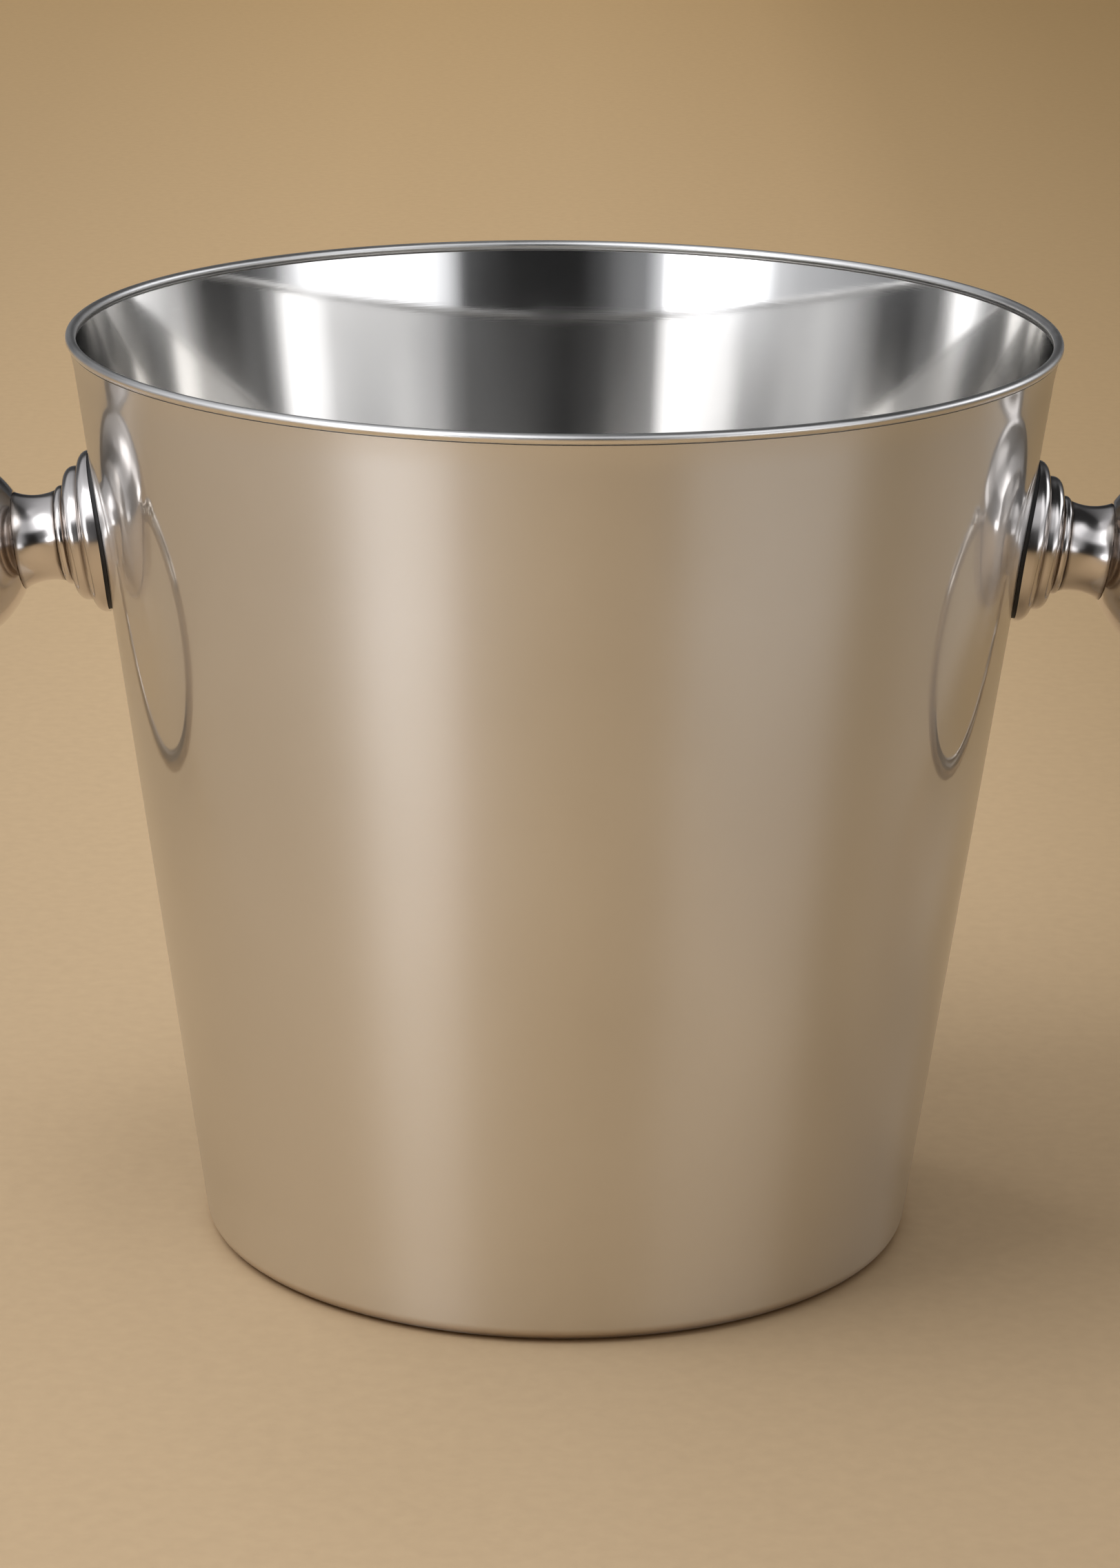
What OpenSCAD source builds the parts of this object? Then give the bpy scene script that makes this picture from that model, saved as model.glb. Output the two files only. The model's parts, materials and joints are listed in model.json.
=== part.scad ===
// Tapered champagne bucket with a wired rim and two hanging ring handles.
//
// A sheet wall stands on its own lower edge. A pan closes it just above the table, and a
// round wire stiffens its rim. On each side a ball on a turned neck stands off the wall,
// held by one screw from inside the bucket. The ring's two ends are knuckles with pins in
// blind bores in the ball's sides, and the ring swings on them.
//
// Z is up and the wall stands on z = 0. The handles lie along X, the right one at +X.

/* [Bucket] */
// Outside diameter of the rim, over its wire
rim_d = 210; // [190:1:260]
// Height from the table to the top of the rim wire
height = 199; // [160:1:250]
// Outside diameter of the wall where it stands
foot_d = 154; // [120:1:186]
// Thickness of the wall sheet
sheet = 1; // [0.8:0.1:1.4]
// Diameter of the wire along the rim
rim_wire_d = 2.2; // [2:0.1:4]
// How far the lip turns out beyond the straight taper
lip_flare = 0.3; // [0:0.1:1]
// Height of the stretch that turns out
lip_h = 6; // [3:0.5:12]

/* [Base] */
// Height of the pan's underside above the table
pan_lift = 4; // [3:0.5:12]
// Thickness of the pan
pan_t = 1.2; // [0.8:0.1:2]
// Gap between the table and the pan's turned-down flange
pan_flange_gap = 0.4; // [0.2:0.1:1]

/* [Handle mount] */
// Depth of the handle's centre below the top of the rim, measured at the wall
handle_drop = 45; // [30:1:60]
// Radius of the escutcheon's flange
flange_r = 17.4; // [14:0.1:22]
// Thickness of the flange
flange_t = 2.9; // [2:0.1:4]
// Radius of the step on the flange
step_r = 14.4; // [12.5:0.1:17]
// Height of the step
step_t = 3.5; // [2:0.1:5]
// Rounding of the turned edges
edge_r = 0.9; // [0.3:0.1:1]
// Radius of the bead at the foot of the neck
bead_r = 10.6; // [10:0.1:12]
// Height of that bead
bead_t = 2.3; // [2.1:0.1:3]
// Radius of the neck at its waist
neck_r = 9.2; // [7:0.1:9.5]
// Length of the neck from the bead to the ball
neck_len = 9; // [6:0.1:11]
// Distance of the waist from the bead
waist_up = 3.7; // [3:0.1:5]
// Radius of the neck's hollow curve
neck_curve_r = 11.7; // [9:0.1:20]
// Distance from the wall to the flange, which the rubber gasket fills
gasket_t = 0.5; // [0.3:0.1:1.5]
// How far the gasket stays inside the flange's edge
gasket_inset = 1; // [0.5:0.1:3]

/* [Ball and ring] */
// Radius of the ball
ball_r = 21.5; // [17:0.1:26]
// Radius of the ball's flat seat on the neck
ball_seat_r = 10.5; // [10:0.1:12]
// Diameter of the ring's wire
ring_wire_d = 5.2; // [4.4:0.1:6]
// Depth of the ring's centre below its pins
ring_drop = 25.8; // [15:0.1:32]
// Radius of the small knuckle at each end of the ring
knuckle_r = 3.3; // [3.1:0.1:5]
// Diameter of the pin on each knuckle
pin_d = 4; // [3:0.1:4.2]
// Depth of each pin's bore in the ball
pin_bore_depth = 9; // [6:0.5:10]

/* [Screw and washers] */
// Length of the screw under its head
screw_len = 35; // [33:1:36]
// Nominal diameter of the screw
screw_d = 6; // [5:0.5:6]
// Diameter of the screw's button head
head_d = 10.5; // [9.5:0.1:11.5]
// Height of the head
head_h = 3.3; // [2.8:0.1:4]
// Width across the flats of the head's hexagon socket
socket_af = 4; // [3:0.5:4]
// Depth of the socket
socket_depth = 2; // [1.5:0.1:2.2]
// Diameter of the flat washer and of the rubber seal behind it
washer_d = 18; // [14:0.5:22]
// Thickness of the flat washer
washer_t = 1.6; // [1:0.1:2]
// Outside diameter of the split lock washer
lock_d = 11.8; // [10.5:0.1:13]
// Thickness of the lock washer
lock_t = 1.6; // [1.2:0.1:2]
// Width of the split in the lock washer
lock_split = 1.2; // [0.8:0.1:2]
// Thickness of the rubber seal at its middle
seal_t = 1.4; // [1:0.1:2.5]

/* [Clearances] */
// Gap between sheet, wire, pan and rubber faces that seat on each other
seat_gap = 0.05; // [0.03:0.01:0.1]
// Running clearance around the ring's pins, on the radius
pin_gap = 0.05; // [0.03:0.01:0.1]
// End play between a knuckle and the ball, and between a pin's tip and its bore
end_gap = 0.3; // [0.3:0.1:0.5]
// Clearance around the screw where it passes through, on the radius
screw_gap = 0.2; // [0.1:0.05:0.4]
// Clearance around the screw in the ball's tapped hole, on the radius
thread_gap = 0.05; // [0.03:0.01:0.1]
// Depth of the tapped hole beyond the screw's tip
tap_over = 2; // [1:0.5:3]

/* [Hidden] */
$fn = 128;
wall_fn = 256;
cut = 1;
tip_chamfer = 0.8;
shank_r = screw_d / 2;

// Wall: a straight taper up to the lip, whose edge carries the rim wire
wire_r = rim_wire_d / 2;
wire_ring_r = rim_d / 2 - wire_r;
wire_z = height - wire_r;
wall_h = height - rim_wire_d - seat_gap;
foot_r = foot_d / 2;
lip_r = wire_ring_r + sheet / 2;
cone_top_r = lip_r - lip_flare;
slope = (cone_top_r - foot_r) / wire_z;
taper = atan(slope);
sheet_across = sheet / cos(taper);
function wall_r(z) = foot_r + slope * z;

// Handle mount: heights along the handle's axis, counted outwards from the wall
handle_z = height - handle_drop;
flange_at = gasket_t;
step_at = flange_at + flange_t;
bead_at = step_at + step_t;
neck_at = bead_at + bead_t;
neck_top = neck_at + neck_len;
ball_at = neck_top + sqrt(ball_r * ball_r - ball_seat_r * ball_seat_r);
washer_at = -(sheet + seal_t + washer_t);
head_at = washer_at - lock_t;
screw_tip = head_at + screw_len;
gasket_r = flange_r - gasket_inset;
skirt = flange_r / 2;

// Ring: its centreline passes through both knuckles, which lie on the pins' axis
pivot_x = wall_r(handle_z) + ball_at * cos(taper);
pivot_z = handle_z - ball_at * sin(taper);
pin_r = pin_d / 2;
knuckle_y = ball_r + end_gap + knuckle_r;
ring_r = sqrt(knuckle_y * knuckle_y + ring_drop * ring_drop);
ring_open = atan2(knuckle_y, ring_drop);
bore_end_y = ball_r - pin_bore_depth;

// Places its children on the right handle's axis, with z = 0 at the wall's outer face
module on_axis() {
    translate([wall_r(handle_z), 0, handle_z])
        rotate([0, 90 + taper, 0])
            children();
}

// Mirrors the right handle's pieces to the left side
module on_left() {
    mirror([1, 0, 0])
        children();
}

// A cylinder along the handle's axis, from one height to another
module axis_cylinder(r, from, to) {
    on_axis()
        translate([0, 0, from])
            cylinder(r = r, h = to - from);
}

// The straight taper as a solid cone, its face moved out by grow
module taper_solid(grow) {
    step_out = grow / cos(taper);
    cylinder(r1 = foot_r + step_out, r2 = cone_top_r + step_out, h = wire_z, $fn = wall_fn);
}

// Half of a turned plate's section, with both of its outer edges rounded
module plate_section(r, t) {
    square([r - edge_r, t]);
    translate([0, edge_r])
        square([r, t - 2 * edge_r]);
    for (y = [edge_r, t - edge_r])
        translate([r - edge_r, y])
            circle(r = edge_r);
}

module wall() {
    lip_z = wall_h - lip_h;
    color("silver")
        difference() {
            rotate_extrude()
                polygon([
                    [foot_r, 0],
                    [wall_r(lip_z), lip_z],
                    [lip_r, wall_h],
                    [lip_r - sheet_across, wall_h],
                    [wall_r(lip_z) - sheet_across, lip_z],
                    [foot_r - sheet_across, 0]
                ]);
            axis_cylinder(shank_r + screw_gap, -2 * sheet, 2 * sheet);
            on_left()
                axis_cylinder(shank_r + screw_gap, -2 * sheet, 2 * sheet);
        }
}

// Floor of the bucket: a flat disc with a flange turned down inside the wall
module base_pan() {
    inside = foot_r - sheet_across - seat_gap;
    pan_top = pan_lift + pan_t;
    color("gainsboro")
        rotate_extrude()
            polygon([
                [0, pan_lift],
                [inside + slope * pan_lift - pan_t, pan_lift],
                [inside + slope * pan_flange_gap - pan_t, pan_flange_gap],
                [inside + slope * pan_flange_gap, pan_flange_gap],
                [inside + slope * pan_top, pan_top],
                [0, pan_top]
            ]);
}

// Round wire brazed along the wall's upper edge
module rim_wire() {
    color("whitesmoke")
        rotate_extrude()
            translate([wire_ring_r, wire_z])
                circle(r = wire_r);
}

// Rubber sheet that follows the wall, between it and the flange
module gasket() {
    color("#1c1c1e")
        difference() {
            intersection() {
                axis_cylinder(gasket_r, -gasket_r, gasket_r);
                taper_solid(gasket_t - seat_gap);
            }
            taper_solid(seat_gap);
            axis_cylinder(shank_r + screw_gap, -gasket_r - cut, flange_at + cut);
        }
}

// Turned, stepped plate with its underside hollowed to fit the wall
module escutcheon() {
    color("silver")
        difference() {
            on_axis()
                rotate_extrude()
                    difference() {
                        union() {
                            translate([0, -skirt])
                                square([flange_r, skirt + flange_at + flange_t / 2]);
                            translate([0, flange_at])
                                plate_section(flange_r, flange_t);
                            translate([0, step_at - edge_r])
                                plate_section(step_r, step_t + edge_r);
                        }
                        translate([0, -skirt - cut])
                            square([shank_r + screw_gap, skirt + bead_at + 2 * cut]);
                    }
            taper_solid(gasket_t);
        }
}

// Waisted neck with a bead at its foot
module neck() {
    color("silver")
        on_axis()
            translate([0, 0, bead_at])
                rotate_extrude()
                    difference() {
                        union() {
                            plate_section(bead_r, bead_t);
                            square([ball_seat_r, bead_t + neck_len]);
                        }
                        neck_hollow();
                        square([shank_r + screw_gap, bead_t + neck_len]);
                    }
}

// What the neck's section loses to its hollow curve, above the bead
module neck_hollow() {
    intersection() {
        translate([neck_r + neck_curve_r, bead_t + waist_up])
            circle(r = neck_curve_r);
        translate([0, bead_t])
            square([2 * bead_r, neck_len]);
    }
}

module ball() {
    color("silver")
        on_axis()
            difference() {
                translate([0, 0, ball_at])
                    sphere(r = ball_r);
                translate([0, 0, neck_top - ball_r])
                    cylinder(r = ball_r, h = ball_r);
                translate([0, 0, neck_top - cut])
                    cylinder(r = shank_r + thread_gap, h = screw_tip + tap_over - neck_top + cut);
                for (side = [-1, 1])
                    translate([0, side * bore_end_y, ball_at])
                        rotate([-90 * side, 0, 0])
                            cylinder(r = pin_r + pin_gap, h = pin_bore_depth + cut);
            }
}

// One end of the ring: a knuckle beside the ball, with its pin in the ball's bore
module ring_end() {
    tip_y = bore_end_y + end_gap;
    translate([0, knuckle_y, 0])
        sphere(r = knuckle_r);
    translate([0, tip_y, 0])
        rotate([-90, 0, 0])
            cylinder(r = pin_r, h = knuckle_y - tip_y);
}

// Ring of round wire, open at the top where the ball stands between its knuckles
module ring() {
    color("whitesmoke")
        translate([pivot_x, 0, pivot_z]) {
            translate([0, 0, -ring_drop])
                rotate([90, 0, 90])
                    rotate([0, 0, 90 + ring_open])
                        rotate_extrude(angle = 360 - 2 * ring_open)
                            translate([ring_r, 0])
                                circle(r = ring_wire_d / 2);
            ring_end();
            mirror([0, 1, 0])
                ring_end();
        }
}

// Button-head screw, driven from inside the bucket with a hexagon key
module screw() {
    dome_r = (head_d * head_d / 4 + head_h * head_h) / (2 * head_h);
    color("darkgray")
        on_axis()
            difference() {
                translate([0, 0, head_at])
                    union() {
                        intersection() {
                            translate([0, 0, dome_r - head_h])
                                sphere(r = dome_r);
                            translate([0, 0, -head_h])
                                cylinder(d = head_d, h = head_h);
                        }
                        cylinder(r = shank_r, h = screw_len - tip_chamfer);
                        translate([0, 0, screw_len - tip_chamfer])
                            cylinder(r1 = shank_r, r2 = shank_r - tip_chamfer, h = tip_chamfer);
                    }
                translate([0, 0, head_at - head_h - cut])
                    cylinder(d = socket_af / cos(30), h = socket_depth + cut, $fn = 6);
            }
}

module lock_washer() {
    color("gray")
        on_axis()
            translate([0, 0, head_at])
                difference() {
                    cylinder(d = lock_d, h = lock_t);
                    translate([0, 0, -cut])
                        cylinder(r = shank_r + thread_gap, h = lock_t + 2 * cut);
                    translate([0, -lock_split / 2, -cut])
                        cube([lock_d, lock_split, lock_t + 2 * cut]);
                }
}

module washer() {
    color("darkgray")
        on_axis()
            translate([0, 0, washer_at])
                difference() {
                    cylinder(d = washer_d, h = washer_t);
                    translate([0, 0, -cut])
                        cylinder(r = shank_r + screw_gap, h = washer_t + 2 * cut);
                }
}

// Rubber seal that follows the wall's inner face and keeps the screw hole watertight
module seal() {
    color("#1c1c1e")
        difference() {
            intersection() {
                axis_cylinder(washer_d / 2, -sheet - seal_t, 0);
                taper_solid(-sheet - seat_gap);
            }
            axis_cylinder(shank_r + screw_gap, -sheet - seal_t - cut, cut);
        }
}

wall();
base_pan();
rim_wire();
on_left() gasket();  // left_gasket
on_left() escutcheon();  // left_escutcheon
on_left() neck();  // left_neck
on_left() ball();  // left_ball
on_left() ring();  // left_ring
on_left() screw();  // left_screw
on_left() lock_washer();  // left_lock_washer
on_left() washer();  // left_washer
on_left() seal();  // left_seal
gasket();  // right_gasket
escutcheon();  // right_escutcheon
neck();  // right_neck
ball();  // right_ball
ring();  // right_ring
screw();  // right_screw
lock_washer();  // right_lock_washer
washer();  // right_washer
seal();  // right_seal
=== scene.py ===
import json
from math import atan, atan2, cos, degrees, hypot, pi, radians, sin, sqrt, tan

import bpy
from mathutils import Matrix, Vector


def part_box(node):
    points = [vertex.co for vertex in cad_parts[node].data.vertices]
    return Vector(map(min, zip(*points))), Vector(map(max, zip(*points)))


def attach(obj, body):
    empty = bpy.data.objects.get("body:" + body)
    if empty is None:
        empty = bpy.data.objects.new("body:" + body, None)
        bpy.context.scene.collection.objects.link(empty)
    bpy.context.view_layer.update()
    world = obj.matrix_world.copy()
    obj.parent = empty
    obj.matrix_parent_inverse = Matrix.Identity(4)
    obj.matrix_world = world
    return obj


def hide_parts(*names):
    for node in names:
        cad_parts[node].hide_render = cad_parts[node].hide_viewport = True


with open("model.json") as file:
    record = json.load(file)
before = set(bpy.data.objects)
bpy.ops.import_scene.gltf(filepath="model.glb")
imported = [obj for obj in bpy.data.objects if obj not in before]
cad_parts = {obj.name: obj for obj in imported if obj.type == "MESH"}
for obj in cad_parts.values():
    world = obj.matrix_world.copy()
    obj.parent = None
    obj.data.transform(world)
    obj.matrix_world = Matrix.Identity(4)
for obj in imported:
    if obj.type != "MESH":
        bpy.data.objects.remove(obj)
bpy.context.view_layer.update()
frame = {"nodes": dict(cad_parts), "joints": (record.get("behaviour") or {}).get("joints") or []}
scene = bpy.context.scene
print("frame loaded:", len(frame["nodes"]), "nodes")


# Sections and turned pieces

def arcPoints(centre, radius, start, end, steps):  # angles in degrees, from the radius axis
    turns = [radians(start + (end - start) * k / steps) for k in range(steps + 1)]
    return [(centre[0] + radius * cos(t), centre[1] + radius * sin(t)) for t in turns]


def roundedSection(corners, steps=6):  # corners are (radius, height, rounding), in order
    points = []
    for k, (radius, height, rounding) in enumerate(corners):
        if rounding == 0:
            points.append((radius, height))
            continue
        here = Vector((radius, height))
        back = (Vector(corners[k - 1][:2]) - here).normalized()
        ahead = (Vector(corners[(k + 1) % len(corners)][:2]) - here).normalized()
        half = back.angle(ahead) / 2
        centre = here + (back + ahead).normalized() * rounding / sin(half)
        first = here + back * rounding / tan(half) - centre
        last = here + ahead * rounding / tan(half) - centre
        start = atan2(first.y, first.x)
        turn = (atan2(last.y, last.x) - start + pi) % (2 * pi) - pi
        for step in range(steps + 1):
            angle = start + turn * step / steps
            points.append((centre.x + rounding * cos(angle), centre.y + rounding * sin(angle)))
    return points


def startCircle(name, segments, radius, height=0, fill="NOTHING"):  # left in edit mode, selected
    bpy.ops.object.select_all(action="DESELECT")
    bpy.ops.mesh.primitive_circle_add(
        vertices=segments, radius=radius, fill_type=fill, location=(0, 0, height))
    piece = bpy.context.object
    piece.name = piece.data.name = name
    bpy.ops.object.mode_set(mode="EDIT")
    bpy.ops.mesh.select_all(action="SELECT")
    return piece


def extrudeRings(section):  # carries the selected circle along the section, ring by ring
    radius, height = section[0]
    for nextRadius, nextHeight in section[1:]:
        lift = nextHeight - height
        scale = nextRadius / radius
        bpy.ops.mesh.extrude_edges_move(TRANSFORM_OT_translate={"value": (0, 0, lift)})
        bpy.ops.transform.resize(value=(scale, scale, 1), center_override=(0, 0, nextHeight))
        radius, height = nextRadius, nextHeight


def turnPiece(name, section, segments, closed=True):
    piece = startCircle(name, segments, *section[0])
    extrudeRings(section + section[:1] if closed else section)
    return closeUp(piece)


def closeUp(piece, seam=2e-6):  # merges the seam, fills open ends, turns the faces outwards
    bpy.ops.mesh.select_all(action="SELECT")
    bpy.ops.mesh.remove_doubles(threshold=seam)
    bpy.ops.mesh.select_all(action="SELECT")
    bpy.ops.mesh.fill_holes(sides=0)
    bpy.ops.mesh.select_all(action="SELECT")
    bpy.ops.mesh.normals_make_consistent(inside=False)
    bpy.ops.object.mode_set(mode="OBJECT")
    bpy.ops.object.transform_apply(location=True, rotation=True, scale=True)
    return piece


def pick(piece):
    bpy.ops.object.select_all(action="DESELECT")
    piece.select_set(True)
    bpy.context.view_layer.objects.active = piece


def smooth(piece, angle=30):
    pick(piece)
    bpy.ops.object.shade_smooth_by_angle(angle=radians(angle))
    return piece


def placePiece(piece, matrix):  # moves a finished mesh, and leaves the object at the origin
    pick(piece)
    piece.matrix_world = matrix
    bpy.ops.object.transform_apply(location=True, rotation=True, scale=True)
    return piece


def otherSide(piece, name):  # a copy with its own mesh, half a turn round the bucket
    copy = piece.copy()
    copy.data = piece.data.copy()
    copy.name = copy.data.name = name
    scene.collection.objects.link(copy)
    return placePiece(copy, Matrix.Rotation(pi, 4, "Z"))


# Measures that the pieces share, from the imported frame

rimLow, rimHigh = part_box("rim_wire")
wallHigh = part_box("wall")[1]
ballLow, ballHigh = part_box("right_ball")

bucket = {
    "footRadius": 0.077,
    "sheet": 0.001,
    "footCurl": 0.0042,
    "curlSteps": (12, 10),  # outside and inside
    "bodyRings": (0.008, 0.014, 0.03, 0.06, 0.09, 0.12, 0.15, 0.175),
    "lipFlare": 0.0003,
    "lipHeight": 0.006,
    "lipSteps": 8,
    "rimSides": 40,
    "segments": 384,
}
wireRadius = (rimHigh.z - rimLow.z) / 2
wireRing = rimHigh.x - wireRadius
wireHeight = rimHigh.z - wireRadius
lipRadius = wallHigh.x
slope = (lipRadius - bucket["lipFlare"] - bucket["footRadius"]) / wireHeight
taper = atan(slope)
sheetAcross = bucket["sheet"] / cos(taper)  # the sheet's thickness, measured level

mount = {  # heights run outwards along the handle, from the wall
    "gasket": 0.0005,
    "cushion": 0.0009,
    "cushionInset": 0.0005,
    "seat": 0.00005,
    "skirt": 0.008,
    "flangeRadius": 0.0174,
    "flange": 0.0029,
    "flangeRoll": 0.0023,
    "stepRadius": 0.0144,
    "step": 0.0035,
    "stepRoll": 0.0022,
    "fillet": 0.0004,
    "beadRadius": 0.0106,
    "bead": 0.0023,
    "beadRoll": 0.0011,
    "neckRadius": 0.0092,
    "neck": 0.009,
    "neckSteps": 24,
    "waist": 0.0037,
    "hollow": 0.0117,
    "seatRadius": 0.0105,
    "seatEdge": 0.00015,
    "sharpEdge": 0.0001,
    "boreRadius": 0.0032,
    "segments": 192,
    "trimSegments": 720,
}
ballRadius = (ballHigh.z - ballLow.z) / 2
pivot = Vector(next(j["pos_m"] for j in frame["joints"] if j["child"] == "right_ring"))
stepAt = mount["gasket"] + mount["flange"]
beadAt = stepAt + mount["step"]
neckAt = beadAt + mount["bead"]
neckTop = neckAt + mount["neck"]
ballAt = neckTop + sqrt(ballRadius ** 2 - mount["seatRadius"] ** 2)
outward = Vector((cos(taper), 0, -sin(taper)))
onHandle = Matrix.Translation(pivot - outward * ballAt) @ Matrix.Rotation(pi / 2 + taper, 4, "Y")


# Bucket

def makeWall():
    foot, curl, top = bucket["footRadius"], bucket["footCurl"], wallHigh.z
    lean = degrees(taper)
    centre = (foot + slope * curl - curl / cos(taper), curl)  # the foot turns in under the wall
    underSteps, overSteps = bucket["curlSteps"]
    under = arcPoints(centre, curl, -90, -lean, underSteps)
    over = arcPoints(centre, curl - bucket["sheet"], -lean, -90, overSteps)
    lipStart = top - bucket["lipHeight"]
    outside = [(foot + slope * h, h) for h in (*bucket["bodyRings"], lipStart)]
    inside = [(radius - sheetAcross, h) for radius, h in outside]
    flare = lipRadius - foot - slope * top
    steps = bucket["lipSteps"]
    for k in range(1, steps + 1):
        height = lipStart + (top - lipStart) * k / steps
        straight = foot + slope * height
        outside.append((straight + flare * (k / steps) ** 2, height))
        inside.append((straight - sheetAcross, height))
    section = under + outside + inside[::-1] + over
    return turnPiece("bucketWall", section, bucket["segments"])


def makeRim():
    section = arcPoints((wireRing, wireHeight), wireRadius, 0, 360, bucket["rimSides"])
    return turnPiece("rimWire", section[:-1], bucket["segments"])


pan = {
    "lift": 0.004,
    "sheet": 0.0012,
    "seat": 0.0003,
    "edge": 0.0005,
    "underEdge": 0.0001,
    "centre": 0.0005,
    "topRings": (0.4, 0.8),  # shares of the pan's radius, as is the next
    "underRing": 0.5,
    "segments": 256,
}


def makePan():
    inside = bucket["footRadius"] - sheetAcross - pan["seat"]
    lift, top = pan["lift"], pan["lift"] + pan["sheet"]
    corners = [
        (pan["centre"], top, 0),
        *[(inside * share, top, 0) for share in pan["topRings"]],
        (inside + slope * top, top, pan["edge"]),
        (inside + slope * lift, lift, pan["underEdge"]),
        (inside * pan["underRing"], lift, 0),
        (pan["centre"], lift, 0),
    ]
    return turnPiece("bucketFloor", roundedSection(corners), pan["segments"], closed=False)


# Handles

def trimPiece(piece, offset, operation):  # cuts with a cone that stands off the wall by the offset
    grow = offset / cos(taper)
    bpy.ops.mesh.primitive_cone_add(
        vertices=mount["trimSegments"], depth=wireHeight, location=(0, 0, wireHeight / 2),
        radius1=bucket["footRadius"] + grow,
        radius2=bucket["footRadius"] + slope * wireHeight + grow)
    cutter = bpy.context.object
    pick(piece)
    trim = piece.modifiers.new("saddle", "BOOLEAN")
    trim.operation = operation
    trim.solver = "EXACT"
    trim.object = cutter
    bpy.ops.object.modifier_apply(modifier=trim.name)
    bpy.data.objects.remove(cutter)
    return piece


def turnOnHandle(name, corners, steps):
    section = roundedSection(corners, steps)
    return placePiece(turnPiece(name, section, mount["segments"]), onHandle)


def makeEscutcheon():
    bore, flange, step = mount["boreRadius"], mount["flangeRadius"], mount["stepRadius"]
    corners = [
        (bore, -mount["skirt"], 0),
        (flange, -mount["skirt"], 0),
        (flange, stepAt, mount["flangeRoll"]),
        (step, stepAt, mount["fillet"]),
        (step, beadAt, mount["stepRoll"]),
        (bore, beadAt, 0),
    ]
    piece = turnOnHandle("rightEscutcheon", corners, steps=10)
    return trimPiece(piece, mount["cushion"], "DIFFERENCE")


def makeCushion():  # the rubber between the escutcheon and the wall
    bore, radius = mount["boreRadius"], mount["flangeRadius"] - mount["cushionInset"]
    corners = [
        (bore, -mount["skirt"], 0),
        (radius, -mount["skirt"], mount["sharpEdge"]),
        (radius, stepAt, mount["sharpEdge"]),
        (bore, stepAt, 0),
    ]
    piece = turnOnHandle("rightCushion", corners, steps=3)
    trimPiece(piece, mount["seat"], "DIFFERENCE")
    return trimPiece(piece, mount["cushion"] - mount["seat"], "INTERSECT")


def waistRadius(height):  # the neck is thinnest at the waist, with a hollow arc to both ends
    hollow = mount["hollow"]
    return mount["neckRadius"] + hollow - sqrt(hollow ** 2 - (height - mount["waist"]) ** 2)


def makeNeck():
    bore, bead, steps = mount["boreRadius"], mount["beadRadius"], mount["neckSteps"]
    heights = [mount["neck"] * k / steps for k in range(1, steps)]
    corners = [
        (bore, beadAt, 0),
        (bead, beadAt, mount["beadRoll"]),
        (bead, neckAt, mount["beadRoll"]),
        (waistRadius(0), neckAt, mount["sharpEdge"]),
        *[(waistRadius(h), neckAt + h, 0) for h in heights],
        (mount["seatRadius"], neckTop, mount["seatEdge"]),
        (bore, neckTop, 0),
    ]
    return turnOnHandle("rightNeck", corners, steps=8)


ring = {
    "wireRadius": 0.0026,
    "drop": 0.0258,
    "knuckleRadius": 0.0033,
    "endPlay": 0.0003,
    "pinRadius": 0.002,
    "pinGap": 0.00005,
    "pinChamfer": 0.0003,
    "boreDepth": 0.009,
    "sides": 48,
    "arcSteps": 168,
    "knuckleSteps": 14,
}

sphere = {
    "latitude": 83,  # degrees that the round part reaches towards each pin hole
    "steps": 96,
    "segments": 128,
    "mouthRoll": 0.0003,
    "screwBore": 0.0175,
}


def makeBall():
    boreRadius = ring["pinRadius"] + ring["pinGap"]
    mouth = sqrt(ballRadius ** 2 - boreRadius ** 2)
    end = ballRadius - ring["boreDepth"]
    roll, latitude = sphere["mouthRoll"], sphere["latitude"]
    skin = arcPoints((0, 0), ballRadius, -latitude, latitude, sphere["steps"])
    corners = [
        (boreRadius, -end, 0),
        (boreRadius, -mouth, roll),
        *[(radius, height, 0) for radius, height in skin],
        (boreRadius, mouth, roll),
        (boreRadius, end, 0),
    ]
    section = roundedSection(corners, steps=4)
    ball = turnPiece("rightBall", section, sphere["segments"], closed=False)
    placePiece(ball, Matrix.Rotation(pi / 2, 4, "X"))
    seatDrop = neckTop - ballAt
    bpy.ops.object.mode_set(mode="EDIT")
    bpy.ops.mesh.select_all(action="SELECT")
    bpy.ops.mesh.bisect(
        plane_co=(0, 0, seatDrop), plane_no=(0, 0, 1), use_fill=True, clear_inner=True)
    bpy.ops.object.mode_set(mode="OBJECT")
    bpy.ops.object.select_all(action="DESELECT")
    for face in ball.data.polygons:  # only the flat seat, where the screw goes in
        facesDown, atSeat = face.normal.z < -0.999, face.center.z < seatDrop + 1e-5
        face.select = facesDown and atSeat
    ball.select_set(True)
    bpy.ops.object.mode_set(mode="EDIT")
    bpy.ops.mesh.select_mode(type="FACE")
    bpy.ops.mesh.inset(thickness=mount["seatRadius"] - mount["boreRadius"])
    bpy.ops.mesh.extrude_region_move(
        TRANSFORM_OT_translate={"value": (0, 0, sphere["screwBore"])})
    bpy.ops.mesh.select_mode(type="VERT")
    bpy.ops.object.mode_set(mode="OBJECT")
    placePiece(ball, Matrix.Translation((0, 0, ballAt)))
    return placePiece(ball, onHandle)


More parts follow.
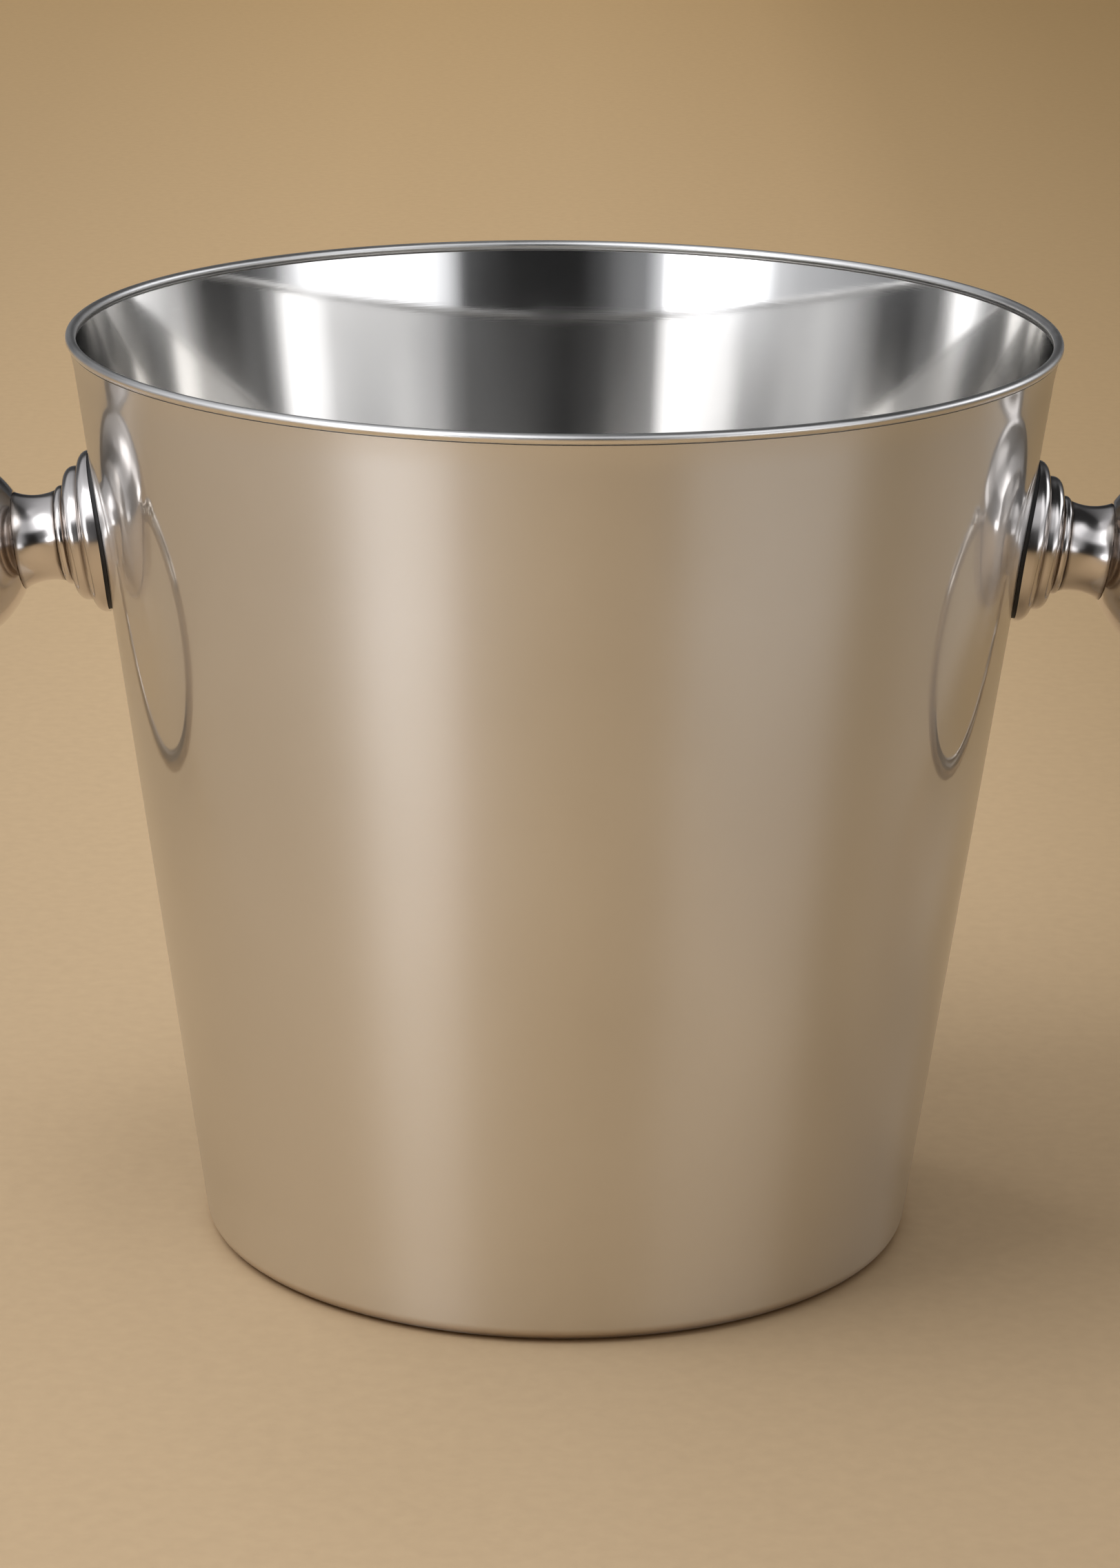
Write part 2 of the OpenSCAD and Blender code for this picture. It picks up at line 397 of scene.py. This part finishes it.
def ringStations():  # (centre, tilt, radius) along one closed tube, from pin tip to pin tip
    pinRadius, knuckle, wire = ring["pinRadius"], ring["knuckleRadius"], ring["wireRadius"]
    knuckleY = ballRadius + ring["endPlay"] + knuckle
    ringRadius = hypot(knuckleY, ring["drop"])
    opening = atan2(knuckleY, ring["drop"])
    tip = ballRadius - ring["boreDepth"] + ring["endPlay"]
    chamfer = ring["pinChamfer"]
    half = [
        (Vector((0, tip, 0)), 0, pinRadius - chamfer),
        (Vector((0, tip + chamfer, 0)), 0, pinRadius),
    ]
    start, end = -sqrt(knuckle ** 2 - pinRadius ** 2), sqrt(knuckle ** 2 - wire ** 2)
    turn = pi / 2 - opening
    for k in range(ring["knuckleSteps"] + 1):
        share = k / ring["knuckleSteps"]
        tilt, along = turn * share, start + (end - start) * share
        way = Vector((0, cos(tilt), -sin(tilt)))
        centre = Vector((0, knuckleY, 0)) + way * along
        half.append((centre, tilt, sqrt(knuckle ** 2 - along ** 2)))
    skip = end / ringRadius
    sweep = 2 * pi - 2 * opening
    arc = []
    for k in range(ring["arcSteps"] + 1):
        angle = opening + skip + (sweep - 2 * skip) * k / ring["arcSteps"]
        centre = Vector((0, ringRadius * sin(angle), ringRadius * cos(angle) - ring["drop"]))
        arc.append((centre, angle, wire))
    mirrored = [(Vector((0, -c.y, c.z)), 2 * pi - t, r) for c, t, r in reversed(half)]
    return half[:-1] + arc + mirrored[1:]


def makeRing():
    stations = ringStations()
    centre, tilt, radius = stations[0]
    bpy.ops.object.select_all(action="DESELECT")
    bpy.ops.mesh.primitive_circle_add(
        vertices=ring["sides"], radius=radius, location=centre, rotation=(pi / 2, 0, 0))
    piece = bpy.context.object
    piece.name = piece.data.name = "rightRing"
    bpy.ops.object.transform_apply(location=True, rotation=True, scale=True)
    bpy.ops.object.mode_set(mode="EDIT")
    bpy.ops.mesh.select_all(action="SELECT")
    for nextCentre, nextTilt, nextRadius in stations[1:]:
        bpy.ops.mesh.extrude_edges_move(TRANSFORM_OT_translate={"value": nextCentre - centre})
        if nextTilt != tilt:
            bpy.ops.transform.rotate(
                value=nextTilt - tilt, orient_axis="X", center_override=nextCentre)
        if nextRadius != radius:
            scale = nextRadius / radius
            bpy.ops.transform.resize(value=(scale, scale, scale), center_override=nextCentre)
        centre, tilt, radius = nextCentre, nextTilt, nextRadius
    closeUp(piece)
    return placePiece(piece, Matrix.Translation(pivot))


wall = smooth(makeWall())
rim = smooth(makeRim())
floorPan = smooth(makePan())
print("bucket made")
escutcheon = smooth(makeEscutcheon())
cushion = smooth(makeCushion())
neck = smooth(makeNeck())
ball = smooth(makeBall())
ringPiece = smooth(makeRing())
print("right handle made")
leftEscutcheon = otherSide(escutcheon, "leftEscutcheon")
leftCushion = otherSide(cushion, "leftCushion")
leftNeck = otherSide(neck, "leftNeck")
leftBall = otherSide(ball, "leftBall")
leftRing = otherSide(ringPiece, "leftRing")
print("left handle made")

for piece, node in (
        (wall, "wall"), (rim, "rim_wire"), (floorPan, "base_pan"),
        (escutcheon, "right_escutcheon"), (neck, "right_neck"), (ball, "right_ball"),
        (leftEscutcheon, "left_escutcheon"), (leftNeck, "left_neck"), (leftBall, "left_ball")):
    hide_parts(node)
    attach(piece, "bucket")
for piece, side in ((cushion, "right"), (leftCushion, "left")):
    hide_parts(side + "_gasket")
    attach(piece, "bucket")
for piece, side in ((ringPiece, "right"), (leftRing, "left")):
    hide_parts(side + "_ring")
    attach(piece, side + "_ring")


# Material nodes

def startMaterial(name):
    material = bpy.data.materials.new(name)
    material.use_nodes = True
    nodes, links = material.node_tree.nodes, material.node_tree.links
    place = nodes.new("ShaderNodeTexCoord").outputs["Object"]
    return material, nodes, links, nodes["Principled BSDF"], place


def operate(nodes, links, kind, operation, *values):  # each value is a socket or a constant
    node = nodes.new(kind)
    node.operation = operation
    for socket, value in zip(node.inputs, values):
        if isinstance(value, bpy.types.NodeSocket):
            links.new(value, socket)
        else:
            socket.default_value = value
    return node.outputs


def axisOf(nodes, links, vector, axis):
    split = nodes.new("ShaderNodeSeparateXYZ")
    links.new(vector, split.inputs["Vector"])
    return split.outputs[axis]


def mixValue(nodes, links, low, high, factor):  # runs from low to high with the factor
    spread = nodes.new("ShaderNodeMapRange")
    spread.inputs["To Min"].default_value = low
    spread.inputs["To Max"].default_value = high
    links.new(factor, spread.inputs["Value"])
    return spread.outputs["Result"]


def spreadOver(nodes, links, value, start, end):  # 0 to 1 as the value goes from start to end
    spread = nodes.new("ShaderNodeMapRange")
    spread.inputs["From Min"].default_value = start
    spread.inputs["From Max"].default_value = end
    links.new(value, spread.inputs["Value"])
    return spread.outputs["Result"]


def mixColour(nodes, links, factor, first, second):  # each colour is a socket or three numbers
    mix = nodes.new("ShaderNodeMix")
    mix.data_type = "RGBA"
    links.new(factor, mix.inputs["Factor"])
    for key, colour in (("A", first), ("B", second)):
        if isinstance(colour, tuple):
            mix.inputs[key].default_value = (*colour, 1)
        else:
            links.new(colour, mix.inputs[key])
    return mix.outputs["Result"]


def noiseOn(nodes, links, vector, scale, detail, stretch=None, turn=(0, 0, 0)):
    if stretch:
        mapping = nodes.new("ShaderNodeMapping")
        mapping.inputs["Scale"].default_value = stretch
        mapping.inputs["Rotation"].default_value = [radians(a) for a in turn]
        links.new(vector, mapping.inputs["Vector"])
        vector = mapping.outputs["Vector"]
    noise = nodes.new("ShaderNodeTexNoise")
    noise.inputs["Scale"].default_value = scale
    noise.inputs["Detail"].default_value = detail
    links.new(vector, noise.inputs["Vector"])
    return noise.outputs["Fac"]


def rampOn(nodes, links, factor, stops):  # stops are (position, colour or grey)
    ramp = nodes.new("ShaderNodeValToRGB")
    elements = ramp.color_ramp.elements
    while len(elements) < len(stops):
        elements.new(0.5)
    for element, (position, colour) in zip(elements, stops):
        element.position = position
        element.color = (*colour, 1) if isinstance(colour, tuple) else (colour,) * 3 + (1,)
    links.new(factor, ramp.inputs["Fac"])
    return ramp.outputs["Color"]


def bumpOn(nodes, links, height, strength, distance):
    bump = nodes.new("ShaderNodeBump")
    bump.inputs["Strength"].default_value = strength
    bump.inputs["Distance"].default_value = distance
    links.new(height, bump.inputs["Height"])
    return bump.outputs["Normal"]


# Silver, steel and rubber

silver = {
    "bright": (0.86, 0.845, 0.82),
    "worn": (0.78, 0.755, 0.715),
    # painted shade: a darker copy of the silver for the handle pieces
    "handleShade": (0.76, 0.72, 0.69),
    "handleShadeWorn": (0.6, 0.55, 0.51),
    # painted shade: a darker copy of the silver for the rings, whose image in the wall lies in
    # shadow
    "ringShade": (0.56, 0.5, 0.44),
    "ringShadeWorn": (0.44, 0.38, 0.32),
    "cloud": (22, 4),  # scale and detail, as for the smudges
    "cloudSpread": (-0.25, 0.9),
    "smudge": (55, 5),
    "smudgeStops": ((0.35, 0.0), (0.7, 1.0)),
    "lathe": (1, 3, (60, 60, 2600)),  # scale, detail and stretch
    "latheHeight": 0.00002,
    "hairAcross": (1, 3, (1900, 50, 70), (0, 35, 20)),  # and a turn in degrees
    "hairAlong": (1, 3, (60, 2100, 60), (25, 0, -40)),
    "hairStops": ((0.62, 0.0), (0.78, 1.0)),
    "hairlines": 0.16,
    "outerSatin": {"share": (0.33, 0.55), "roughness": 0.36},  # share at the foot and the rim
    "innerSatin": {"share": (0.34, 0.34), "roughness": 0.15},
    # painted shade: the soft lobe's colour at the foot, darker than higher up
    "footSatinShade": (0.68, 0.64, 0.58),
    "satinHeights": (0.02, 0.16),
    "satinStretch": 1.0,
    "satinTurn": 0.25,
    # painted shade at the foot, for the contact shadow under the curl
    "paintedFootShade": (0.52, 0.34, 0.16),
    "footHeights": (0.0034, 0.0012),
    "tarnish": (0.14, 0.095, 0.065),
    "grooveDepth": 0.92,
    "grooveWidths": ((0.0007, 0.0009), (0.0007, 0.0006), (0.0005, 0.0008), (0.0008, 0.0006)),
    "grooveEnd": 0.0012,
}


def paintedFootShade(nodes, links, place):  # painted shade: browner and darker where the wall turns in to the floor, for the contact shadow seen in the curl
    height = axisOf(nodes, links, place, "Z")
    return spreadOver(nodes, links, height, *silver["footHeights"]), silver["paintedFootShade"]


def grooveStain(nodes, links, place):  # tarnish left in the corners of the turned steps
    sided = operate(nodes, links, "ShaderNodeVectorMath", "ABSOLUTE", place)["Vector"]
    along = operate(nodes, links, "ShaderNodeVectorMath", "DOT_PRODUCT", sided, outward)["Value"]
    start = (pivot - outward * ballAt).dot(outward)
    length = neckTop + silver["grooveEnd"]
    share = spreadOver(nodes, links, along, start, start + length)
    stops = [(0.0, 0.0)]
    for corner, (before, after) in zip((stepAt, beadAt, neckAt, neckTop), silver["grooveWidths"]):
        stops += [(corner - before, 0.0), (corner, silver["grooveDepth"]), (corner + after, 0.0)]
    return rampOn(nodes, links, share, [(s / length, v) for s, v in stops]), silver["tarnish"]


def addSatin(nodes, links, shader, place, tint, normal, satin):  # a second, softer lobe, its colour darker towards the foot: painted shade
    soft = nodes.new("ShaderNodeBsdfPrincipled")
    soft.inputs["Metallic"].default_value = 1
    soft.inputs["Roughness"].default_value = satin["roughness"]
    soft.inputs["Anisotropic"].default_value = silver["satinStretch"]
    soft.inputs["Anisotropic Rotation"].default_value = silver["satinTurn"]
    tangent = nodes.new("ShaderNodeTangent")
    tangent.direction_type = "RADIAL"
    tangent.axis = "Z"
    rise = spreadOver(nodes, links, axisOf(nodes, links, place, "Z"), *silver["satinHeights"])
    colour = mixColour(nodes, links, rise, silver["footSatinShade"], tint)
    links.new(tangent.outputs["Tangent"], soft.inputs["Tangent"])
    links.new(colour, soft.inputs["Base Color"])
    links.new(normal, soft.inputs["Normal"])
    both = nodes.new("ShaderNodeMixShader")
    links.new(mixValue(nodes, links, *satin["share"], rise), both.inputs["Fac"])
    links.new(shader.outputs["BSDF"], both.inputs[1])
    links.new(soft.outputs["BSDF"], both.inputs[2])
    links.new(both.outputs["Shader"], nodes["Material Output"].inputs["Surface"])


def makeSilver(name, rough, satin=None, lathe=0.05, tones=("bright", "worn"), tarnishAndShade=None):
    material, nodes, links, shader, place = startMaterial(name)
    shader.inputs["Metallic"].default_value = 1
    cloud = noiseOn(nodes, links, place, *silver["cloud"])
    age = mixValue(nodes, links, *silver["cloudSpread"], cloud)
    tint = mixColour(nodes, links, age, *(silver[tone] for tone in tones))
    # the caller gives real tarnish for the grooves and painted shade for the wall's foot
    if tarnishAndShade:
        amount, tarnishAndShadeTint = tarnishAndShade(nodes, links, place)
        tint = mixColour(nodes, links, amount, tint, tarnishAndShadeTint)
    across = noiseOn(nodes, links, place, *silver["hairAcross"])
    along = noiseOn(nodes, links, place, *silver["hairAlong"])
    hair = operate(nodes, links, "ShaderNodeMath", "MAXIMUM", across, along)["Value"]
    fine = rampOn(nodes, links, hair, silver["hairStops"])
    smudge = noiseOn(nodes, links, place, *silver["smudge"])
    smudge = rampOn(nodes, links, smudge, silver["smudgeStops"])
    wear = operate(
        nodes, links, "ShaderNodeMath", "MULTIPLY_ADD", fine, silver["hairlines"], smudge)["Value"]
    lines = noiseOn(nodes, links, place, *silver["lathe"])
    normal = bumpOn(nodes, links, lines, lathe, silver["latheHeight"])
    links.new(tint, shader.inputs["Base Color"])
    links.new(mixValue(nodes, links, *rough, wear), shader.inputs["Roughness"])
    links.new(normal, shader.inputs["Normal"])
    if satin:
        addSatin(nodes, links, shader, place, tint, normal, satin)
    return material


steel = {
    "cloud": (90, 4),
    "tones": ((0.3, (0.5, 0.5, 0.49)), (0.7, (0.62, 0.61, 0.59))),
    "grain": (1, 3, (400, 4000, 400)),
    "rough": (0.26, 0.42),
    "bump": (0.15, 0.00003),
}


def makeSteel(name):
    material, nodes, links, shader, place = startMaterial(name)
    shader.inputs["Metallic"].default_value = 1
    cloud = noiseOn(nodes, links, place, *steel["cloud"])
    grain = noiseOn(nodes, links, place, *steel["grain"])
    links.new(rampOn(nodes, links, cloud, steel["tones"]), shader.inputs["Base Color"])
    links.new(mixValue(nodes, links, *steel["rough"], grain), shader.inputs["Roughness"])
    links.new(bumpOn(nodes, links, grain, *steel["bump"]), shader.inputs["Normal"])
    return material


rubber = {
    "dust": (260, 5),
    "tones": ((0.35, (0.012, 0.012, 0.013)), (0.8, (0.03, 0.029, 0.028))),
    "rough": (0.5, 0.75),
    "grain": (2500, 3),
    "bump": (0.2, 0.00005),
}


def makeRubber(name):
    material, nodes, links, shader, place = startMaterial(name)
    dust = noiseOn(nodes, links, place, *rubber["dust"])
    grain = noiseOn(nodes, links, place, *rubber["grain"])
    links.new(rampOn(nodes, links, dust, rubber["tones"]), shader.inputs["Base Color"])
    links.new(mixValue(nodes, links, *rubber["rough"], dust), shader.inputs["Roughness"])
    links.new(bumpOn(nodes, links, grain, *rubber["bump"]), shader.inputs["Normal"])
    return material


def dress(piece, *materials):
    piece.data.materials.clear()
    for material in materials:
        piece.data.materials.append(material)


# darker copies of the silver for the handles and rings: painted shade, with random tone from the
# cloud
handleShade, ringShade = ("handleShade", "handleShadeWorn"), ("ringShade", "ringShadeWorn")
# the outer wall gets painted shade at its foot
outerSilver = makeSilver(
    "spunSilver", rough=(0.03, 0.08), satin=silver["outerSatin"], lathe=0.1, tarnishAndShade=paintedFootShade)
innerSilver = makeSilver("mirrorSilver", rough=(0.03, 0.07), satin=silver["innerSatin"])
turnedSilver = makeSilver("turnedSilver", rough=(0.13, 0.2), tones=handleShade, tarnishAndShade=grooveStain)
castSilver = makeSilver("castSilver", rough=(0.1, 0.17), tones=handleShade)
wireSilver = makeSilver("wireSilver", rough=(0.12, 0.2), tones=ringShade)
rimSilver = makeSilver("rimSilver", rough=(0.3, 0.4))
stainlessSteel = makeSteel("stainlessSteel")
blackRubber = makeRubber("blackRubber")

dress(wall, outerSilver, innerSilver)
for face in wall.data.polygons:
    away = Vector((face.center.x, face.center.y, 0)).normalized()
    if face.normal.dot(away) < -0.5:  # the faces inside the bucket
        face.material_index = 1
dress(floorPan, innerSilver)
dress(rim, rimSilver)
for piece in (escutcheon, neck, leftEscutcheon, leftNeck):
    dress(piece, turnedSilver)
for piece in (ball, leftBall):
    dress(piece, castSilver)
for piece in (ringPiece, leftRing):
    dress(piece, wireSilver)
for piece in (cushion, leftCushion):
    dress(piece, blackRubber)
for side in ("left", "right"):
    dress(frame["nodes"][side + "_seal"], blackRubber)
    for node in ("screw", "lock_washer", "washer"):
        dress(frame["nodes"][side + "_" + node], stainlessSteel)
print("materials made")


# Studio

studio = {
    "floorRings": (0.05, 0.12, 0.2, 0.3, 0.45, 0.7, 1.1, 1.7, 2.6),
    "coveRadius": 0.9,
    "coveHeight": 2.4,
    "coveSteps": 16,
    "segments": 128,
    "sand": (0.5, 0.37, 0.232),
    "warmSand": (0.5, 0.347, 0.18),
    "depth": (0.1, 2.2),  # the sand turns warm from the first Y to the second
    "spread": (-0.6, 0.6),  # the painted light and shade run across these X
    # painted light and shade on the floor: lighter on the left, darker and yellower on the right
    "lightAndShade": (
        (0.0, 0.74), (0.25, 0.84), (0.41, 1.0), (0.5, 1.0), (0.6, (0.925, 0.915, 0.895)),
        (0.65, (0.8, 0.785, 0.745)), (0.75, (0.71, 0.69, 0.635)), (1.0, (0.58, 0.56, 0.48))),
    "cloth": (260, 6),
    "mottle": ((0.3, 0.95), (0.7, 1.0)),
    "roughness": 0.9,
    "specular": 0.1,
    "fill": 0.62,
}
lamps = {
    "keyLamp": {"place": (-1.05, -0.45, 1.8), "aim": (0, 0, 0.1), "size": 1.3, "power": 20.5},
    "backLamp": {"place": (-1.8, 2.0, 1.8), "aim": (-0.1, 3.0, 0.4), "size": 1.2, "power": 28},
    "topLamp": {"place": (-0.1, 0.2, 1.8), "aim": (0, 0, 0.1), "size": 1.6, "power": 9},
}


def makeFloor():
    rings = studio["floorRings"]
    ground = startCircle("studioFloor", studio["segments"], rings[0], fill="NGON")
    extrudeRings([(radius, 0) for radius in rings])
    bpy.ops.object.mode_set(mode="OBJECT")
    return ground


def makeCove():
    radius, cove = studio["floorRings"][-1], studio["coveRadius"]
    back = startCircle("studioCove", studio["segments"], radius)
    section = arcPoints((radius, cove), cove, -90, 0, studio["coveSteps"])
    extrudeRings(section + [(radius + cove, studio["coveHeight"])])
    bpy.ops.mesh.select_all(action="SELECT")
    bpy.ops.mesh.normals_make_consistent(inside=True)
    bpy.ops.object.mode_set(mode="OBJECT")
    return smooth(back, angle=60)


def makeSand(name):
    material, nodes, links, shader, place = startMaterial(name)
    shader.inputs["Roughness"].default_value = studio["roughness"]
    shader.inputs["Specular IOR Level"].default_value = studio["specular"]
    depth = spreadOver(nodes, links, axisOf(nodes, links, place, "Y"), *studio["depth"])
    across = spreadOver(nodes, links, axisOf(nodes, links, place, "X"), *studio["spread"])
    cloth = noiseOn(nodes, links, place, *studio["cloth"])
    tone = mixColour(nodes, links, depth, studio["sand"], studio["warmSand"])
    # painted light and shade across the floor, then the cloth mottle
    for shade in (rampOn(nodes, links, across, studio["lightAndShade"]),
                  rampOn(nodes, links, cloth, studio["mottle"])):
        tone = operate(nodes, links, "ShaderNodeVectorMath", "MULTIPLY", tone, shade)["Vector"]
    links.new(tone, shader.inputs["Base Color"])
    return material


def makeSet():
    ground, back = makeFloor(), makeCove()
    sandPaper = makeSand("sandPaper")
    for piece in (ground, back):
        dress(piece, sandPaper)
    back.visible_glossy = False
    back.visible_shadow = False


def addLamp(name, place, aim, size, power):
    lamp = bpy.data.lights.new(name, "AREA")
    lamp.size = size
    lamp.energy = power
    holder = bpy.data.objects.new(name, lamp)
    scene.collection.objects.link(holder)
    holder.location = place
    holder.rotation_mode = "QUATERNION"
    holder.rotation_quaternion = (Vector(aim) - Vector(place)).to_track_quat("-Z", "Y")
    holder.visible_camera = False
    holder.visible_glossy = False


room = {  # rings of (azimuth in degrees, brightness), 0 towards the camera and + towards +X
    "horizon": [
        (-180, 0.12), (-150, 0.15), (-131, 0.25), (-101, 0.32), (-89, 0.32), (-79, 0.36),
        (-69, 0.45), (-60, 0.55), (-54, 0.75), (-49, 2.2), (-44, 4.2), (-27, 4.2), (-24, 1.0),
        (-20, 0.3), (-15, 0.22), (-10, 0.08), (-4, 0.01), (20, 0.01), (25, 0.05), (29, 1.1),
        (33, 1.7), (45, 2.0), (66, 2.0), (71, 0.9), (76, 0.2), (82, 0.1), (88, 0.01),
        (110, 0.03), (125, 0.15), (150, 0.03), (180, 0.12)],
    "middle": [
        (-180, 0.02), (-166, 0.06), (-132, 0.1), (-122, 0.25), (-114, 0.33), (-96, 0.45),
        (-77, 0.65), (-62, 1.0), (-55, 1.7), (-47, 2.2), (-37, 2.2), (-29, 0.5), (-21, 0.13),
        (-12, 0.1), (-4, 0.01), (13, 0.01), (19, 0.15), (26, 0.35), (32, 0.55), (48, 0.9),
        (66, 0.7), (76, 0.3), (86, 0.1), (96, 0.12), (106, 0.28), (114, 0.7), (119, 1.4),
        (127, 1.4), (136, 0.25), (147, 0.1), (162, 0.03), (180, 0.02)],
    "upper": [
        (-180, 0.02), (-166, 0.05), (-132, 0.09), (-124, 0.25), (-116, 0.6), (-100, 0.95),
        (-77, 1.05), (-62, 1.1), (-55, 1.7), (-47, 2.2), (-37, 2.2), (-29, 0.5), (-21, 0.13),
        (-12, 0.1), (-4, 0.01), (13, 0.01), (19, 0.15), (26, 0.35), (32, 0.5), (48, 0.55),
        (66, 0.6), (78, 0.75), (89, 0.9), (98, 1.8), (114, 2.2), (129, 2.2), (136, 0.4),
        (143, 0.24), (150, 0.1), (162, 0.05), (180, 0.02)],
    "high": [
        (-180, 0.2), (-150, 0.5), (-100, 0.7), (-78, 0.9), (-66, 2.0), (-58, 3.4), (-28, 3.4),
        (-18, 1.8), (-8, 1.0), (8, 0.5), (28, 0.6), (45, 1.2), (66, 1.4), (78, 0.6), (90, 0.02),
        (150, 0.02), (180, 0.2)],
    "ceiling": [
        (-180, 0.2), (-120, 0.6), (-30, 0.8), (-5, 0.35), (10, 0.1), (40, 0.03), (150, 0.02),
        (180, 0.2)],
    "steps": ((5, 7.5), (15.6, 17.3), (26, 36), (58, 70)),  # heights where each ring gives way
    "cool": (0.96, 0.985, 1.045),
}


def paintRoom():  # soft boxes and dark flags round the room, seen only in the metal
    world = bpy.data.worlds.new("studioRoom")
    scene.world = world
    world.use_nodes = True
    nodes, links = world.node_tree.nodes, world.node_tree.links
    way = nodes.new("ShaderNodeTexCoord").outputs["Generated"]
    across, depth, height = (axisOf(nodes, links, way, axis) for axis in "XYZ")
    near = operate(nodes, links, "ShaderNodeMath", "MULTIPLY", depth, -1)["Value"]
    angle = operate(nodes, links, "ShaderNodeMath", "ARCTAN2", across, near)["Value"]
    share = spreadOver(nodes, links, angle, -pi, pi)

    def paintRing(level):
        cool = room["cool"]
        lightAndShade = [((a + 180) / 360, tuple(grey * c for c in cool)) for a, grey in room[level]]
        return rampOn(nodes, links, share, lightAndShade)

    rings = paintRing("horizon")
    for level, limits in zip(("middle", "upper", "high", "ceiling"), room["steps"]):
        lift = spreadOver(nodes, links, height, *(sin(radians(limit)) for limit in limits))
        rings = mixColour(nodes, links, lift, rings, paintRing(level))
    ray = nodes.new("ShaderNodeLightPath")
    fill = (studio["fill"],) * 3
    light = mixColour(nodes, links, ray.outputs["Is Glossy Ray"], fill, rings)
    light = mixColour(nodes, links, ray.outputs["Is Camera Ray"], light, studio["sand"])
    links.new(light, nodes["Background"].inputs["Color"])


makeSet()
for name, lamp in lamps.items():
    addLamp(name, **lamp)
paintRoom()
print("studio made")


# Camera

view = {
    "distance": 0.97125,
    "height": 0.3906,
    "pitch": 16.75,
    "roll": 0.6,
    "lens": 107.13,
    "sensor": 36,
    "clip": (0.01, 50),
}


def addCamera():
    camera = bpy.data.cameras.new("camera")
    camera.sensor_width = view["sensor"]
    camera.lens = view["lens"]
    camera.clip_start, camera.clip_end = view["clip"]
    holder = bpy.data.objects.new("camera", camera)
    scene.collection.objects.link(holder)
    place = Matrix.Translation((0, -view["distance"], view["height"]))
    pitch = Matrix.Rotation(pi / 2 - radians(view["pitch"]), 4, "X")
    roll = Matrix.Rotation(radians(view["roll"]), 4, "Z")
    holder.matrix_world = place @ (pitch @ roll)
    scene.camera = holder


addCamera()
scene.view_settings.view_transform = "Standard"
